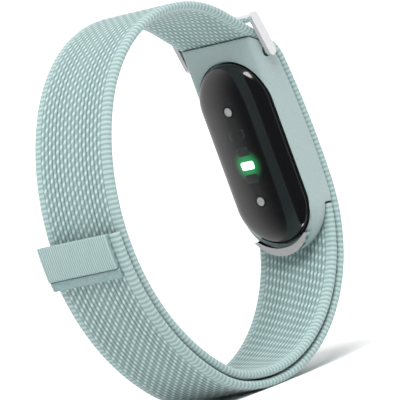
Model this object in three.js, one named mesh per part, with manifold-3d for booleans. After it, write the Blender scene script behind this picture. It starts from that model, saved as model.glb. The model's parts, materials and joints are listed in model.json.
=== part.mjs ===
// Fitness tracker band: a woven strap wound as a spiral, a soft cradle with a chrome ring,
// and a sensor capsule that pops out of the cradle. Millimetres, +Z up, Y along the wrist.
import * as THREE from 'three';
import { mergeVertices } from 'three/addons/utils/BufferGeometryUtils.js';
import Module from 'manifold-3d';

const wasm = await Module();
wasm.setup();

// ---- driving dimensions -------------------------------------------------------------------
const STRAP_WIDTH = 20;
const STRAP_THICK = 1.8;
const GAP = 0.3;                       // clearance between pieces that lie on each other
const STRAP_PITCH = STRAP_THICK + GAP; // how far the second turn lies outside the first
const PATH_START = { x: 26.63, z: 59.83, heading: -76.9 };
// The wearer's side of the strap, from the ring down past the sensor and round to the ring.
const PATH = [
  { radius: 157, sweep: 8.8 },
  { radius: 54, sweep: 2.2 },
  { radius: 29, sweep: 109.4 },
  { radius: 17.4, sweep: 18.2 },
  { radius: 41, sweep: 86.9 },
  { radius: 29.6, sweep: 19.4 },
  { radius: 27.5, sweep: 50.7 },
  { radius: 24.7, sweep: 23.9 },
  { straight: 12.8 },
  { radius: 6, sweep: 40.4 },
];
const STEP = 2.6;                      // length of one facet along the strap
const LOOP_FROM = 30;                  // where the strap comes out under the cradle
const SPLICE = 6;                      // the two strap solids meet this far before the turn ends
const FLAP_FROM = 112;                 // root of the strap end that peels off
const STRAP_END = 124.5;

const CAPSULE_RADIUS = 8.8;
const CAPSULE_HALF = 10.35;            // from the middle to the centre of each round end
const CAPSULE_DEPTH = 4.6;
const DOME_HEIGHT = 3.1;
const WALL = 0.9;
const SENSOR_PLACE = { x: 24.38, z: 43.53, turn: -96.4 };
const CRADLE_HALF_WIDTH = 9.7;
const CRADLE_TOP = 24;
const CRADLE_ROUND = 1.3;              // how far the rim rounds in from the side
const CRADLE_ROUND_DEPTH = 2.2;
const CONTACT_AT = [9.87, -9.2];
const RING_LOWER = { x: 25.28, z: 62.93 };
const RING_UPPER = { x: 23.0, z: 70.1 };
const RING_BAR = 0.85;
const RING_INNER_HALF = 10.4;
const RING_CHEEK = 1.15;

const rad = THREE.MathUtils.degToRad;
const pathLength = (part) => part.straight ?? part.radius * rad(part.sweep);
const TURN = PATH.reduce((sum, part) => sum + pathLength(part), 0);

// ---- the strap's path -----------------------------------------------------------------------
function walk(distance) {
  let { x, z } = PATH_START;
  let heading = rad(PATH_START.heading);
  let left = distance;
  for (const part of PATH) {
    const length = Math.min(left, pathLength(part));
    if (part.straight) {
      x += length * Math.cos(heading);
      z += length * Math.sin(heading);
    } else {
      const turned = heading - length / part.radius;
      x += part.radius * (Math.sin(heading) - Math.sin(turned));
      z -= part.radius * (Math.cos(heading) - Math.cos(turned));
      heading = turned;
    }
    left -= length;
    if (left <= 0) break;
  }
  return { x, z, heading };
}

const turnEnd = walk(TURN);
const turnStart = walk(0);
const closing = {
  x: turnStart.x - STRAP_PITCH * Math.sin(turnStart.heading) - turnEnd.x,
  z: turnStart.z + STRAP_PITCH * Math.cos(turnStart.heading) - turnEnd.z,
};
const EASE = 45;                       // the last stretch in which the turn closes on the next

function strapPoint(distance, offset) {
  const second = distance > TURN;
  const along = second ? distance - TURN : distance;
  const out = second ? offset + STRAP_PITCH : offset;
  const at = walk(along);
  const ease = second ? 0 : Math.max(0, (along - TURN + EASE) / EASE);
  return new THREE.Vector2(
    at.x - out * Math.sin(at.heading) + ease * closing.x,
    at.z + out * Math.cos(at.heading) + ease * closing.z,
  );
}

function extrudeAcross(shape, low, high) {
  const geometry = new THREE.ExtrudeGeometry(shape, { depth: high - low, bevelEnabled: false, curveSegments: 12 });
  return geometry.rotateX(Math.PI / 2).translate(0, high, 0);
}

function ribbon(from, to, inner, outer, low = -STRAP_WIDTH / 2, high = STRAP_WIDTH / 2) {
  const steps = Math.max(2, Math.ceil((to - from) / STEP));
  const line = (offset) => Array.from({ length: steps + 1 },
    (_, i) => strapPoint(from + (to - from) * i / steps, offset));
  return extrudeAcross(new THREE.Shape([...line(inner), ...line(outer).reverse()]), low, high);
}

// ---- solids -----------------------------------------------------------------------------------
function toSolid(geometry) {
  const bare = geometry.clone();
  bare.deleteAttribute('normal');
  bare.deleteAttribute('uv');
  const merged = mergeVertices(bare, 1e-4);
  return new wasm.Manifold(new wasm.Mesh({
    numProp: 3,
    vertProperties: new Float32Array(merged.attributes.position.array),
    triVerts: new Uint32Array(merged.index.array),
  }));
}

function toGeometry(solid) {
  const mesh = solid.getMesh();
  const geometry = new THREE.BufferGeometry();
  geometry.setAttribute('position', new THREE.BufferAttribute(new Float32Array(mesh.vertProperties), 3));
  geometry.setIndex(new THREE.BufferAttribute(new Uint32Array(mesh.triVerts), 1));
  geometry.computeVertexNormals();
  return geometry;
}

function cut(body, ...tools) {
  return toGeometry(tools.reduce((solid, tool) => solid.subtract(toSolid(tool)), toSolid(body)));
}

// The sensor's own frame: X up along the band, Y across it, Z towards the wrist.
const sensorFrame = new THREE.Matrix4()
  .makeRotationY(rad(SENSOR_PLACE.turn))
  .setPosition(SENSOR_PLACE.x, 0, SENSOR_PLACE.z);
const place = (geometry) => geometry.applyMatrix4(sensorFrame);

function stadium(radius, half = CAPSULE_HALF) {
  const shape = new THREE.Shape();
  shape.absarc(half, 0, radius, -Math.PI / 2, Math.PI / 2);
  shape.absarc(-half, 0, radius, Math.PI / 2, 3 * Math.PI / 2);
  return shape;
}

function slab(shape, low, high) {
  const geometry = new THREE.ExtrudeGeometry(shape, { depth: high - low, bevelEnabled: false, curveSegments: 16 });
  return place(geometry.translate(0, 0, low));
}

function block(x, y, low, high, length, width) {
  return place(new THREE.BoxGeometry(length, width, high - low).translate(x, y, (low + high) / 2));
}

function post(x, y, low, high, radius) {
  return place(new THREE.CylinderGeometry(radius, radius, high - low, 24)
    .rotateX(Math.PI / 2).translate(x, y, (low + high) / 2));
}

function dome(radius, height, crown) {
  const options = {
    depth: 0.2, steps: 1, curveSegments: 12,
    bevelEnabled: true, bevelThickness: height - 0.2, bevelSize: radius - crown, bevelSegments: 7,
  };
  return place(new THREE.ExtrudeGeometry(stadium(crown), options));
}

const parts = new THREE.Group();

function add(name, geometry, color, roughness, metalness = 0) {
  const material = new THREE.MeshStandardMaterial({ color, roughness, metalness });
  const mesh = new THREE.Mesh(geometry, material);
  mesh.name = name;
  parts.add(mesh);
}

// ---- strap ---------------------------------------------------------------------------------------
const MINT = 0xa9c4c1;
const half = STRAP_WIDTH / 2;
add('strap_loop', ribbon(LOOP_FROM, TURN - SPLICE, 0, STRAP_THICK), MINT, 0.9);
add('strap_tail', ribbon(TURN - SPLICE + GAP, TURN + FLAP_FROM, 0, STRAP_THICK), MINT, 0.9);
const HOOK_THICK = 0.5;
const flapFrom = TURN + FLAP_FROM + GAP;
const strapEnd = TURN + STRAP_END;
add('strap_end', ribbon(flapFrom, strapEnd, HOOK_THICK + GAP, STRAP_THICK), MINT, 0.9);
add('hook_patch', ribbon(flapFrom + 1, strapEnd - 0.5, 0, HOOK_THICK, -half + 0.8, half - 0.8), 0x7f9a98, 0.95);
const COVER_NEAR = -7.9;
const COVER_FAR = half + 0.4;
const COVER_LENGTH = 6;
const coverLow = STRAP_THICK + GAP;
add('end_tab_cover', ribbon(strapEnd - COVER_LENGTH, strapEnd + 0.3, coverLow, coverLow + 0.8, COVER_NEAR, COVER_FAR),
  MINT, 0.9);
add('end_weld_bar', ribbon(strapEnd - COVER_LENGTH - 1.9, strapEnd - COVER_LENGTH - GAP, coverLow, coverLow + 0.6,
  COVER_NEAR, COVER_FAR), 0x93b0ad, 0.7);

// ---- cradle ------------------------------------------------------------------------------------
const FAR_OUT = 16;
const overStrap = ribbon(175, TURN + LOOP_FROM, -GAP, FAR_OUT, -half - 2, half + 2);
const overLoop = ribbon(LOOP_FROM - 0.4, 62, -GAP, FAR_OUT, -half - 2, half + 2);
const LIP = 1.0;
const capsuleStep = 24;                // below here the capsule's back follows the strap
const capsuleUnder = (clear) => ribbon(capsuleStep, 62, -GAP - LIP - clear, FAR_OUT, -half - 2, half + 2);

function cradlePlan() {
  const r = CRADLE_HALF_WIDTH - CRADLE_ROUND;
  const shape = new THREE.Shape();
  shape.moveTo(-12, r);
  shape.absarc(-12, 0, r, Math.PI / 2, 3 * Math.PI / 2);
  shape.lineTo(CRADLE_TOP - CRADLE_ROUND, -r);
  shape.lineTo(CRADLE_TOP - CRADLE_ROUND, r);
  return shape;
}

function cradleBlank() {
  const options = {
    depth: 5, steps: 1, curveSegments: 20,
    bevelEnabled: true, bevelThickness: CRADLE_ROUND_DEPTH, bevelSize: CRADLE_ROUND, bevelSegments: 6,
  };
  return place(new THREE.ExtrudeGeometry(cradlePlan(), options).translate(0, 0, -7.3));
}

// Room round the ring's lower bar, scooped out of the cradle and of the capsule's back.
const roundBar = (radius) => new THREE.CylinderGeometry(radius, radius, 30, 24)
  .translate(RING_LOWER.x, 0, RING_LOWER.z);
const BAR_CHANNEL = RING_BAR + 0.35;
const BAR_WALL = BAR_CHANNEL + 1;
const pocket = cut(slab(stadium(CAPSULE_RADIUS + GAP), -CAPSULE_DEPTH - GAP, 6), capsuleUnder(0), roundBar(BAR_WALL));

// Crescent button at the capsule's lower end.
const CRESCENT_RADIUS = 8.3;
const CRESCENT_CENTRE = -13.2;
function crescent(grow, low, high) {
  const outer = new THREE.Shape();
  outer.absarc(CRESCENT_CENTRE, 0, CRESCENT_RADIUS + grow, 0, 2 * Math.PI);
  const inside = slab(stadium(CAPSULE_RADIUS + 0.7 - 2 * grow), low - 1, high + 1);
  const upper = block(1.7, 0, low - 1, high + 1, 38.6, 24);
  return cut(slab(outer, low, high), inside, upper);
}
const crescentPocket = slab(new THREE.Shape().absarc(CRESCENT_CENTRE, 0, CRESCENT_RADIUS + GAP, 0, 2 * Math.PI), -0.3, 6);

add('cradle_frame', cut(cradleBlank(), overStrap, overLoop, pocket, crescentPocket, roundBar(BAR_CHANNEL)),
  0x9fb3b1, 0.55);

// ---- ring ------------------------------------------------------------------------------------------
function rod(radius, at, low, high) {
  return new THREE.CylinderGeometry(radius, radius, high - low, 20).translate(at.x, (low + high) / 2, at.z);
}

function ring() {
  const outline = new THREE.Shape();
  const angle = Math.atan2(RING_UPPER.z - RING_LOWER.z, RING_UPPER.x - RING_LOWER.x);
  outline.absarc(RING_UPPER.x, RING_UPPER.z, RING_CHEEK, angle - Math.PI / 2, angle + Math.PI / 2);
  outline.absarc(RING_LOWER.x, RING_LOWER.z, RING_CHEEK, angle + Math.PI / 2, angle + 3 * Math.PI / 2);
  const reach = RING_INNER_HALF + 0.9;
  return toGeometry([
    extrudeAcross(outline, -reach, -RING_INNER_HALF),
    extrudeAcross(outline, RING_INNER_HALF, reach),
    rod(RING_BAR, RING_UPPER, -RING_INNER_HALF - 0.4, RING_INNER_HALF + 0.4),
    rod(RING_BAR, RING_LOWER, -RING_INNER_HALF - 0.4, RING_INNER_HALF + 0.4),
  ].map(toSolid).reduce((all, next) => all.add(next)));
}
add('strap_ring', ring(), 0xe8eaec, 0.12, 1);

// ---- capsule ------------------------------------------------------------------------------------
const innerRadius = CAPSULE_RADIUS - WALL;
// Below the bar the capsule's back stays clear, so that it can leave the cradle straight.
const BAR_IN_SENSOR = { x: 19.18, z: -3.06 };
const underBar = (clear) => block(BAR_IN_SENSOR.x, 0, -8, BAR_IN_SENSOR.z, 2 * (BAR_WALL + clear + GAP), 30);
const baseCavity = cut(slab(stadium(innerRadius), -CAPSULE_DEPTH + WALL, 2), capsuleUnder(GAP + WALL),
  roundBar(BAR_WALL + GAP + WALL), underBar(GAP + WALL));
add('capsule_base', cut(slab(stadium(CAPSULE_RADIUS), -CAPSULE_DEPTH, -GAP), capsuleUnder(GAP),
  roundBar(BAR_WALL + GAP), underBar(GAP), baseCavity), 0x17191a, 0.35);

const below = block(0, 0, -8, 0, 60, 40);
const contactHoles = CONTACT_AT.map((x) => post(x, 0, -1, 6, 1.25));
add('sensor_cover', cut(dome(CAPSULE_RADIUS, DOME_HEIGHT, 2.3), below,
  toGeometry(toSolid(dome(innerRadius, DOME_HEIGHT - WALL, 1.6)).subtract(toSolid(block(0, 0, -8, -0.01, 60, 40)))),
  block(0, 0, -8, 0.01, 2 * CAPSULE_HALF, 2 * (innerRadius - 0.5)), ...contactHoles), 0x0c0d0e, 0.08);

CONTACT_AT.forEach((x, i) => {
  add(`charge_contact_${i + 1}`, post(x, 0, 1.0, DOME_HEIGHT + 0.05, 0.9), 0xc9cccf, 0.3, 1);
  add(`contact_spring_${i + 1}`, post(x, 0, 0.1, 0.7, 0.5), 0xb9a36a, 0.35, 1);
});
add('main_board', block(0, 0, -0.9, -0.2, 24, 13), 0x1f4d33, 0.6);
add('battery_cell', block(2.2, 0, -3.4, -1.9, 18, 12), 0xb7bcc0, 0.4, 0.6);
add('battery_tape', block(2.2, 0, -1.7, -1.5, 12, 10), 0xd7c27a, 0.6);
add('soc_chip', block(-8.8, 0, -2.0, -1.2, 4, 5), 0x2a2c2e, 0.4);
add('motion_sensor', block(-8.8, 4.5, -1.9, -1.2, 2, 2), 0x333537, 0.4);
add('optical_barrier', cut(block(0.5, 0, 0.1, 1.5, 14, 6), block(-1.56, 0, -1, 3, 2.6, 4.4),
  block(5.04, 0, -1, 3, 2.6, 4.8), block(1.37, 0, -1, 3, 2.4, 4.4), block(-4.29, 0, -1, 3, 2.0, 4.4)), 0x101112, 0.8);
add('led_green', block(-1.56, 0, 0.1, 0.9, 1.6, 3.0), 0x66f0a0, 0.3);
[5.04, 1.37, -4.29].forEach((x, i) => {
  add(`photodiode_${i + 1}`, block(x, 0, 0.1, 0.7, 1.3, 3.0), 0x24303a, 0.2);
});
add('temperature_sensor', block(-6.6, 4.3, 0.1, 0.7, 1.2, 1.2), 0x3a3d40, 0.4);
add('antenna_strip', block(3, 6.9, -2.9, -1.2, 16, 0.4), 0xc28f56, 0.4, 0.8);

// ---- button ----------------------------------------------------------------------------------------
add('button_cap', crescent(0, 0.1, 1.2), 0xeef0f1, 0.1, 1);

export default parts;
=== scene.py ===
import json
import math

import bpy
import numpy as np
from mathutils import Matrix, Vector


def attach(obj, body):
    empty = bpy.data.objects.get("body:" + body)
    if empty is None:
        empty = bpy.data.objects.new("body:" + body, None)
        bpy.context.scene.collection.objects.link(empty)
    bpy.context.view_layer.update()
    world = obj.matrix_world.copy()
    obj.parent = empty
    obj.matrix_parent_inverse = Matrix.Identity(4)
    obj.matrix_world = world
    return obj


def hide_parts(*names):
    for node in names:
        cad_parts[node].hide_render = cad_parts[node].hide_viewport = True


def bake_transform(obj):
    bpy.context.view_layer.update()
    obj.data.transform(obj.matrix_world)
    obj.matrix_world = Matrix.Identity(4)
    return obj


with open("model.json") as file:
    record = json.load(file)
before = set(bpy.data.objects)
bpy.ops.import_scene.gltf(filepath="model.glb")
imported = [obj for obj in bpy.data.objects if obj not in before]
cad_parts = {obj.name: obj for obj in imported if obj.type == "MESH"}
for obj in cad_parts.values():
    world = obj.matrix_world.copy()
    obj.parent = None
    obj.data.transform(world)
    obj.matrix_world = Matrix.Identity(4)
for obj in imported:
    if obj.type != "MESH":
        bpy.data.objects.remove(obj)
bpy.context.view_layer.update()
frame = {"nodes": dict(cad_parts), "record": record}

MM = 0.001

# ---- camera; the floor is laid with the light ---------------------------------------------
AZIMUTH = math.radians(48.98)      # how far the view stands off the wrist axis
ELEVATION = math.radians(4.0)
ROLL = math.radians(15.9)
DISTANCE = 2.0
PICTURE_WIDTH = 78.6 * MM          # what the picture spans at the object
TARGET = Vector((-2.2, -6.07, 39.24)) * MM
SENSOR_WIDTH = 36.0

back = Vector((-math.sin(AZIMUTH) * math.cos(ELEVATION),
               -math.cos(AZIMUTH) * math.cos(ELEVATION), math.sin(ELEVATION)))
level = Vector((math.cos(AZIMUTH), -math.sin(AZIMUTH), 0.0))
rise = back.cross(level)
camera_x = level * math.cos(ROLL) - rise * math.sin(ROLL)
camera_y = level * math.sin(ROLL) + rise * math.cos(ROLL)
lens = bpy.data.cameras.new("camera")
lens.sensor_width = SENSOR_WIDTH
lens.lens = SENSOR_WIDTH * DISTANCE / PICTURE_WIDTH
lens.clip_end = 50.0
camera = bpy.data.objects.new("camera", lens)
placed = Matrix((camera_x, camera_y, back)).transposed().to_4x4()
placed.translation = TARGET + back * DISTANCE
camera.matrix_world = placed
bpy.context.scene.collection.objects.link(camera)
bpy.context.scene.camera = camera
bpy.context.scene.view_settings.view_transform = "Standard"


# ---- materials ------------------------------------------------------------------------------
RELIEF_DEPTH = 0.00005             # reach of the fine bump, metres
RAMP_LOW, RAMP_HIGH = 0.35, 0.65   # where in the noise the colour changes
FIBRE_SCALE = 6000.0


def new_material(name, color, rough, metal=0.0):
    material = bpy.data.materials.new(name)
    material.use_nodes = True
    nodes = material.node_tree.nodes
    shader = nodes["Principled BSDF"]
    shader.inputs["Base Color"].default_value = (*color, 1.0)
    shader.inputs["Roughness"].default_value = rough
    shader.inputs["Metallic"].default_value = metal
    return material, nodes, material.node_tree.links, shader


def grain(material_parts, scale, bump, color_low, color_high, rough_low, rough_high):
    """Fine noise that varies colour, roughness and height together."""
    _, nodes, links, shader = material_parts
    place = nodes.new("ShaderNodeTexCoord")
    noise = nodes.new("ShaderNodeTexNoise")
    noise.inputs["Scale"].default_value = scale
    noise.inputs["Detail"].default_value = 5.0
    links.new(place.outputs["Object"], noise.inputs["Vector"])
    ramp = nodes.new("ShaderNodeValToRGB")
    ramp.color_ramp.elements[0].position = RAMP_LOW
    ramp.color_ramp.elements[1].position = RAMP_HIGH
    ramp.color_ramp.elements[0].color = (*color_low, 1)
    ramp.color_ramp.elements[1].color = (*color_high, 1)
    links.new(noise.outputs["Fac"], ramp.inputs["Fac"])
    links.new(ramp.outputs["Color"], shader.inputs["Base Color"])
    spread = nodes.new("ShaderNodeMapRange")
    spread.inputs["To Min"].default_value = rough_low
    spread.inputs["To Max"].default_value = rough_high
    links.new(noise.outputs["Fac"], spread.inputs["Value"])
    links.new(spread.outputs["Result"], shader.inputs["Roughness"])
    relief = nodes.new("ShaderNodeBump")
    relief.inputs["Strength"].default_value = bump
    relief.inputs["Distance"].default_value = RELIEF_DEPTH
    links.new(noise.outputs["Fac"], relief.inputs["Height"])
    links.new(relief.outputs["Normal"], shader.inputs["Normal"])


def plain(name, low, high, rough, metal=0.0, scale=1500.0, bump=0.1):
    made = new_material(name, low, rough, metal)
    grain(made, scale, bump, low, high, max(0.02, rough - 0.05), rough + 0.08)
    return made[0]


def woven_material():
    """Mint weave coloured by its own relief, painted shade in the low places between floats and painted
    highlight on their crests, kept on the mesh as a point attribute.
    """
    material, nodes, links, shader = new_material("woven_mint", (0.4, 0.6, 0.6), 0.85)
    relief_shade = nodes.new("ShaderNodeAttribute")
    relief_shade.attribute_name = "relief_shade"
    # painted shade at the dark end for the gaps between floats, painted highlight at the light end for
    # their crests
    ramp = nodes.new("ShaderNodeValToRGB")
    ramp.color_ramp.elements[0].color = (0.055, 0.115, 0.115, 1)
    ramp.color_ramp.elements[1].color = (0.58, 0.70, 0.69, 1)
    middle = ramp.color_ramp.elements.new(0.45)
    middle.color = (0.25, 0.365, 0.36, 1)
    links.new(relief_shade.outputs["Fac"], ramp.inputs["Fac"])
    links.new(ramp.outputs["Color"], shader.inputs["Base Color"])
    place = nodes.new("ShaderNodeTexCoord")
    fibre = nodes.new("ShaderNodeTexNoise")
    fibre.inputs["Scale"].default_value = FIBRE_SCALE
    links.new(place.outputs["Object"], fibre.inputs["Vector"])
    relief = nodes.new("ShaderNodeBump")
    relief.inputs["Strength"].default_value = 0.35
    relief.inputs["Distance"].default_value = RELIEF_DEPTH
    links.new(fibre.outputs["Fac"], relief.inputs["Height"])
    links.new(relief.outputs["Normal"], shader.inputs["Normal"])
    shader.inputs["Sheen Weight"].default_value = 0.25
    shader.inputs["Sheen Roughness"].default_value = 0.5
    return material


def glowing(name, color, strength):
    material, _, _, shader = new_material(name, color, 0.3)
    shader.inputs["Emission Color"].default_value = (*color, 1.0)
    shader.inputs["Emission Strength"].default_value = strength
    return material


WOVEN = woven_material()
CRADLE = plain("soft_touch_cradle", (0.345, 0.44, 0.435), (0.375, 0.47, 0.465), 0.5, 0.0, 2500.0, 0.12)
CHROME = plain("polished_chrome", (0.86, 0.87, 0.88), (0.9, 0.91, 0.92), 0.08, 1.0, 900.0, 0.01)
SATIN_BLACK = plain("capsule_satin_black", (0.012, 0.013, 0.014), (0.018, 0.019, 0.02), 0.3)
SLOTS = {
    "hook_tape": plain("hook_tape_grey", (0.15, 0.24, 0.24), (0.25, 0.36, 0.36), 0.9, 0.0, 5000.0, 0.9),
    "weld": plain("welded_bar", (0.22, 0.33, 0.33), (0.28, 0.40, 0.395), 0.6),
    "cradle": CRADLE, "ring_chrome": CHROME, "capsule_black": SATIN_BLACK, "sensor_gloss": SATIN_BLACK,
    "contact_metal": plain("contact_steel", (0.62, 0.64, 0.65), (0.74, 0.76, 0.77), 0.35, 0.85),
    "spring_metal": plain("plated_spring", (0.55, 0.43, 0.2), (0.68, 0.56, 0.3), 0.35, 1.0),
    "board": plain("solder_mask", (0.01, 0.07, 0.03), (0.02, 0.11, 0.05), 0.45, 0.0, 700.0, 0.2),
    "battery": plain("battery_foil", (0.45, 0.47, 0.48), (0.6, 0.62, 0.63), 0.4, 0.7),
    "tape": plain("amber_film", (0.6, 0.4, 0.08), (0.68, 0.48, 0.14), 0.4),
    "chip": plain("moulded_chip", (0.02, 0.02, 0.022), (0.04, 0.04, 0.042), 0.55),
    "barrier": plain("black_barrier", (0.01, 0.01, 0.01), (0.02, 0.02, 0.02), 0.9),
    "photodiode": plain("clear_diode", (0.02, 0.03, 0.05), (0.04, 0.05, 0.08), 0.15),
    "antenna": plain("copper_flex", (0.6, 0.28, 0.12), (0.7, 0.36, 0.18), 0.35, 1.0),
    "led": glowing("led_chip", (0.25, 1.0, 0.5), 2.0),
    "strap": WOVEN,
}
for part in frame["record"]["subparts"]:
    meshes = frame["nodes"][part["node"]].data.materials
    meshes.clear()
    meshes.append(SLOTS[part["material_slot"]])


# ---- the strap's path, as the frame's solids follow it --------------------------------------
STRAP_WIDTH, STRAP_THICK, GAP = 20.0, 1.8, 0.3
PITCH = STRAP_THICK + GAP
START = (26.63, 59.83, math.radians(-76.9))
ARCS = [(157, 8.8), (54, 2.2), (29, 109.4), (17.4, 18.2), (41, 86.9), (29.6, 19.4), (27.5, 50.7),
        (24.7, 23.9), (None, 12.8), (6, 40.4)]
LOOP_FROM, FLAP_SPLIT, STRAP_END, EASE = 30.0, 104.0, 124.5, 45.0


def run_of(arc):
    return arc[1] if arc[0] is None else arc[0] * math.radians(arc[1])


TURN = sum(run_of(arc) for arc in ARCS)


def walk(distance):
    x, z, heading = START
    left = distance
    for arc in ARCS:
        length = min(left, run_of(arc))
        if arc[0] is None:
            x += length * math.cos(heading)
            z += length * math.sin(heading)
        else:
            turned = heading - length / arc[0]
            x += arc[0] * (math.sin(heading) - math.sin(turned))
            z -= arc[0] * (math.cos(heading) - math.cos(turned))
            heading = turned
        left -= length
        if left <= 0:
            break
    return x, z, heading


END_X, END_Z, _ = walk(TURN)
CLOSE_X = START[0] - PITCH * math.sin(START[2]) - END_X
CLOSE_Z = START[1] + PITCH * math.cos(START[2]) - END_Z


def strap_frame(distance):
    """Point on the strap's inner face, and the way outwards from it."""
    second = distance > TURN
    along = distance - TURN if second else distance
    x, z, heading = walk(along)
    base = PITCH if second else 0.0
    ease = 0.0 if second else max(0.0, (along - TURN + EASE) / EASE)
    out = (-math.sin(heading), math.cos(heading))
    return (x + base * out[0] + ease * CLOSE_X, z + base * out[1] + ease * CLOSE_Z), out


# ---- woven ribbons ---------------------------------------------------------------------------
WEAVE = 0.13             # relief of a yarn float, mm
COLUMN, FLOAT = 1.0, 1.8 # width and length of one float, mm
SELVEDGE = 1.9           # width of the plain edge, mm
LEAN = 0.45              # slant of a float across its column
COLUMN_SHIFT = 0.33      # each column starts this share of a float later
SIDE_SHIFT = 0.12        # added on the outer face, taken off on the inner one
CREST = 0.8              # below 1 the crest of a float is broader
UNDER = 0.55             # height of the yarn between two floats
EDGE_LEVEL, EDGE_SWING, EDGE_PITCH = 0.45, 0.22, 0.95
EDGE_HIGHLIGHT = 0.12         # painted highlight: the edge is coloured this much lighter than its relief
ROUND_STEPS = 9          # points round a ribbon's edge
FINE_STEP, FACE_COLUMNS = 0.3, 76


def face_weave(along, across, side):
    """Twill of long floats: staggered bumps whose columns step along the strap."""
    column = np.floor(across / COLUMN)
    centre = (column + 0.5) * COLUMN
    lean = LEAN * side * (across - centre)
    phase = (along + lean) / FLOAT + COLUMN_SHIFT * column + SIDE_SHIFT * side * column
    over = 0.5 + 0.5 * np.cos(2 * math.pi * phase)
    body = np.cos(math.pi * (across - centre) / COLUMN)
    second = UNDER * (0.5 - 0.5 * np.cos(2 * math.pi * phase))
    return body * np.maximum(over ** CREST, second)


def edge_weave(along):
    return EDGE_LEVEL + EDGE_SWING * np.cos(2 * math.pi * along / EDGE_PITCH)


def ribbon(name, start, end, low, high, inner, thick, step, columns, weave, shade_of):
    """Closed ribbon between two faces, with full round edges, raised by weave(along, across, side)."""
    radius = thick / 2
    flat = np.linspace(low + radius, high - radius, columns)
    turn = np.linspace(-math.pi / 2, math.pi / 2, ROUND_STEPS)[1:-1]
    across = np.concatenate([flat, high - radius + radius * np.cos(turn), flat[::-1],
                             low + radius - radius * np.cos(turn)])
    height = np.concatenate([np.zeros(columns), radius + radius * np.sin(turn), np.full(columns, thick),
                             radius - radius * np.sin(turn)])
    side_y = np.concatenate([np.zeros(columns), np.cos(turn), np.zeros(columns), -np.cos(turn)])
    side_n = np.concatenate([-np.ones(columns), np.sin(turn), np.ones(columns), -np.sin(turn)])
    count = len(across)
    rows = max(4, int((end - start) / step))
    points = np.zeros((rows + 1, count, 3))
    # painted shade and highlight for every point, kept on the mesh for the woven material
    relief_shade = np.zeros((rows + 1, count))
    for i in range(rows + 1):
        along = start + (end - start) * i / rows
        (x, z), out = strap_frame(along)
        raise_by = weave(along, across, side_n)
        offset = inner + height + side_n * raise_by
        points[i, :, 0] = x + offset * out[0]
        points[i, :, 1] = across + side_y * raise_by
        points[i, :, 2] = z + offset * out[1]
        relief_shade[i] = shade_of(along, across, side_n)
    order = np.arange((rows + 1) * count).reshape(rows + 1, count)
    following = np.roll(order, -1, axis=1)
    quads = np.stack([order[:-1], following[:-1], following[1:], order[1:]], axis=-1).reshape(-1, 4)
    faces = quads.tolist() + [order[0][::-1].tolist(), order[-1].tolist()]
    mesh = bpy.data.meshes.new(name)
    mesh.from_pydata((points.reshape(-1, 3) * MM).tolist(), [], faces)
    mesh.update()
    # the painted shade goes onto the mesh as a point attribute
    field = mesh.attributes.new("relief_shade", "FLOAT", "POINT")
    field.data.foreach_set("value", relief_shade.reshape(-1).astype(np.float32))
    mesh.shade_smooth()
    piece = bpy.data.objects.new(name, mesh)
    bpy.context.scene.collection.objects.link(piece)
    return piece


def strap_relief(along, across, side):
    edge = np.abs(across) > STRAP_WIDTH / 2 - SELVEDGE
    face = face_weave(along, across, np.sign(side))
    return WEAVE * np.where(edge, edge_weave(along), face) - WEAVE


# painted shade between the floats, painted highlight on their crests and on the lighter edge
def strap_shade(along, across, side):
    edge = np.abs(across) > STRAP_WIDTH / 2 - SELVEDGE
    return np.where(edge, EDGE_HIGHLIGHT + edge_weave(along), face_weave(along, across, np.sign(side)))


FOLD_FROM, FOLD_TO = 109.0, 115.0      # make_strap reads the path at these places on the strap's end but bends nothing


def make_strap():
    half = STRAP_WIDTH / 2
    strap = ribbon("woven_strap", LOOP_FROM, TURN + FLAP_SPLIT, -half, half, 0.0, STRAP_THICK,
                   FINE_STEP, FACE_COLUMNS, strap_relief, strap_shade)
    strap.data.materials.append(WOVEN)
    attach(strap, "band")
    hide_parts("strap_loop", "strap_tail")
    end = ribbon("woven_strap_end", TURN + FLAP_SPLIT, TURN + STRAP_END, -half, half, 0.0, STRAP_THICK,
                 FINE_STEP, FACE_COLUMNS, strap_relief, strap_shade)
    end.data.materials.append(WOVEN)
    (x, z), out = strap_frame(TURN + FOLD_FROM)
    (x2, z2), out2 = strap_frame(TURN + FOLD_TO)
    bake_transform(end)
    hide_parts("strap_end")


TAB_NEAR, TAB_FAR = -7.9, STRAP_WIDTH / 2 + 0.4
TAB_LENGTH, TAB_PAST_END = 6, 0.3
RIB_PITCH, RIB_HEIGHT = 0.55, 0.10
WELD_FROM, WELD_TO = 7.9, 6.2          # before the strap's end


def make_tab():
    near, far = TAB_NEAR, TAB_FAR
    last = TURN + STRAP_END

    def ribs(along, across, side):
        return RIB_HEIGHT * (0.5 + 0.5 * np.cos(2 * math.pi * across / RIB_PITCH)) - 0.05

    # painted shade in the grooves between the ribs, painted highlight on their crests
    def rib_shade(along, across, side):
        return 0.35 + 0.35 * (0.5 + 0.5 * np.cos(2 * math.pi * across / RIB_PITCH)) + 0 * side

    def smooth(along, across, side):
        return 0.0 * across

    cover = ribbon("end_tab", last - TAB_LENGTH, last + TAB_PAST_END, near, far,
                   STRAP_THICK + 0.1, 1.1, 0.25, 150, ribs, rib_shade)
    cover.data.materials.append(WOVEN)
    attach(cover, "strap_flap")
    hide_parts("end_tab_cover")
    bar = ribbon("weld_bar", last - WELD_FROM, last - WELD_TO, near, far,
                 STRAP_THICK - 0.1, 0.95, 0.2, 40, smooth,
                 lambda along, across, side: 0.45 + 0 * across)
    bar.data.materials.append(SLOTS["weld"])
    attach(bar, "strap_flap")
    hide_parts("end_weld_bar")


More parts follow.
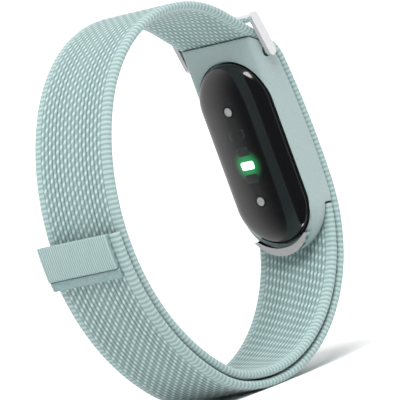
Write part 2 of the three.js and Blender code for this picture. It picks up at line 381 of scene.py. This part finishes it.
# ---- the capsule's glossy cover ------------------------------------------------------------
SENSOR_TURN = math.radians(-96.4)
SENSOR_X, SENSOR_Z = 24.38, 43.53
SENSOR = Matrix.Translation((SENSOR_X * MM, 0, SENSOR_Z * MM)) @ Matrix.Rotation(SENSOR_TURN, 4, "Y")
RADIUS, HALF, DOME = 8.8, 10.35, 3.1
LED_AT = -1.56
END_STEPS, DOME_STEPS, CIRCLE_STEPS = 48, 30, 40
WINDOWS = ((5.04, 1.9, 4.0), (1.37, 1.8, 3.0), (-4.29, 1.8, 3.2))   # place, length, width
WELLS = (9.87, -9.2)
WELL_OUTER, WELL_INNER, WELL_RISE = 1.3, 0.95, 0.02
GLOW_FROM, GLOW_TO = 1.0, 3.9          # the green glow fades between these distances


def link(name, points, faces, material, body):
    mesh = bpy.data.meshes.new(name)
    mesh.from_pydata([SENSOR @ Vector([c * MM for c in p]) for p in points], [], faces)
    mesh.update()
    mesh.shade_smooth()
    mesh.materials.append(material)
    piece = bpy.data.objects.new(name, mesh)
    bpy.context.scene.collection.objects.link(piece)
    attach(piece, body)
    return piece


def stadium_ring(radius, height):
    ends = []
    for middle, first in ((HALF, -math.pi / 2), (-HALF, math.pi / 2)):
        for i in range(END_STEPS + 1):
            a = first + math.pi * i / END_STEPS
            ends.append((middle + radius * math.cos(a), radius * math.sin(a), height))
    return ends


def circle(along, radius, height):
    turns = [2 * math.pi * i / CIRCLE_STEPS for i in range(CIRCLE_STEPS)]
    return [(along + radius * math.cos(a), radius * math.sin(a), height) for a in turns]


def lofted(name, rings, material, body):
    count = len(rings[0])
    faces = []
    for k in range(len(rings) - 1):
        low, high = k * count, (k + 1) * count
        faces += [[low + i, low + (i + 1) % count, high + (i + 1) % count, high + i] for i in range(count)]
    faces.append(list(range(count))[::-1])
    faces.append([(len(rings) - 1) * count + i for i in range(count)])
    return link(name, [p for ring in rings for p in ring], faces, material, body)


def dome_height(radius):
    return DOME * math.sqrt(max(0.0, 1 - (radius / RADIUS) ** 2))


def gloss_material():
    """Black tinted cover with a green glow spreading from the lit window."""
    material, nodes, links, shader = new_material("sensor_gloss_black", (0.006, 0.006, 0.007), 0.14)
    shader.inputs["Coat Weight"].default_value = 0.5
    shader.inputs["Coat Roughness"].default_value = 0.05
    led = SENSOR @ Vector((LED_AT * MM, 0, DOME * MM))
    place = nodes.new("ShaderNodeTexCoord")
    span = nodes.new("ShaderNodeVectorMath")
    span.operation = "DISTANCE"
    span.inputs[1].default_value = led
    links.new(place.outputs["Object"], span.inputs[0])
    fall = nodes.new("ShaderNodeMapRange")
    fall.interpolation_type = "SMOOTHERSTEP"
    fall.inputs["From Min"].default_value = GLOW_FROM * MM
    fall.inputs["From Max"].default_value = GLOW_TO * MM
    fall.inputs["To Min"].default_value = 0.5
    fall.inputs["To Max"].default_value = 0.0
    links.new(span.outputs["Value"], fall.inputs["Value"])
    shader.inputs["Emission Color"].default_value = (0.02, 0.55, 0.16, 1)
    links.new(fall.outputs["Result"], shader.inputs["Emission Strength"])
    return material


def make_sensor():
    rings = [stadium_ring(RADIUS - 0.05, 0.0)]
    for k in range(1, DOME_STEPS - 1):
        radius = RADIUS * math.cos(0.5 * math.pi * k / DOME_STEPS)
        rings.append(stadium_ring(radius, dome_height(radius)))
    cover = lofted("sensor_dome", rings, gloss_material(), "capsule")
    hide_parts("sensor_cover")


def pad(name, along, across, length, width, thick, material, corner=0.35):
    """Small rounded plate that follows the dome."""
    rings = []
    for inset, rise_by in ((0.0, -0.05), (0.0, thick * 0.6), (0.1, thick)):
        ring = []
        for sx, sy, a0 in ((1, -1, -90), (1, 1, 0), (-1, 1, 90), (-1, -1, 180)):
            for i in range(7):
                a = math.radians(a0 + 15 * i)
                r = corner - inset * 0.5
                x = along + sx * (length / 2 - corner) + r * math.cos(a)
                y = across + sy * (width / 2 - corner) + r * math.sin(a)
                ring.append((x, y, dome_height(abs(y)) + rise_by))
        rings.append(ring)
    return lofted(name, rings, material, "capsule")


def make_windows():
    smoked = plain("smoked_window", (0.022, 0.024, 0.025), (0.03, 0.032, 0.033), 0.3)
    for number, (along, length, width) in enumerate(WINDOWS):
        pad(f"optical_window_{number + 1}", along, 0, length, width, 0.03, smoked)
    glow = glowing("lit_window_glow", (0.55, 1.0, 0.72), 1.6)
    lit = pad("lit_window", LED_AT, 0, 1.7, 3.3, 0.05, glow, 0.45)
    # painted shade: a flat matte near-black ring on the dome stands in for the shade inside the hole round
    # each contact
    painted_well_shade = plain("contact_well_shade", (0.002, 0.002, 0.002), (0.004, 0.004, 0.004), 0.6)
    for number, along in enumerate(WELLS):
        rings = [circle(along, radius, DOME + height) for radius, height in (
            (WELL_OUTER, 0.0), (WELL_OUTER, WELL_RISE), (WELL_INNER, WELL_RISE), (WELL_INNER, 0.0))]
        lofted(f"contact_well_shade_{number + 1}", rings, painted_well_shade, "capsule")


# ---- light -------------------------------------------------------------------------------------
BRIGHT_SIDE = (0.75, 0.62, 0.22)       # direction of the studio's bright side
DARK_LEVEL, BRIGHT_LEVEL = 0.03, 0.95
KEY_FROM = (-0.42, -0.30, 0.86)
KEY_STRENGTH, KEY_SPREAD = 3.4, 40


def make_light():
    world = bpy.data.worlds.new("studio")
    world.use_nodes = True
    nodes, links = world.node_tree.nodes, world.node_tree.links
    nodes["Background"].inputs["Color"].default_value = (1, 1, 1, 1)
    place = nodes.new("ShaderNodeTexCoord")
    facing = nodes.new("ShaderNodeVectorMath")
    facing.operation = "DOT_PRODUCT"
    facing.inputs[1].default_value = BRIGHT_SIDE
    links.new(place.outputs["Generated"], facing.inputs[0])
    bright = nodes.new("ShaderNodeMapRange")
    bright.interpolation_type = "SMOOTHSTEP"
    bright.inputs["From Min"].default_value = -0.55
    bright.inputs["From Max"].default_value = 0.25
    bright.inputs["To Min"].default_value = DARK_LEVEL
    bright.inputs["To Max"].default_value = BRIGHT_LEVEL
    links.new(facing.outputs["Value"], bright.inputs["Value"])
    links.new(bright.outputs["Result"], nodes["Background"].inputs["Strength"])
    bpy.context.scene.world = world
    sun = bpy.data.lights.new("key", "SUN")
    sun.energy = KEY_STRENGTH
    sun.angle = math.radians(KEY_SPREAD)
    key = bpy.data.objects.new("key", sun)
    key.matrix_world = Vector(KEY_FROM).to_track_quat("Z", "Y").to_matrix().to_4x4()
    bpy.context.scene.collection.objects.link(key)
    bpy.ops.mesh.primitive_plane_add(size=14, location=(0, 0, 0))
    floor = bpy.context.object
    floor.name = "floor"
    made = new_material("white_floor", (0.92, 0.92, 0.92), 0.9)
    floor.data.materials.append(made[0])
    floor.visible_glossy = False


make_strap()
make_tab()
make_sensor()
make_windows()
make_light()
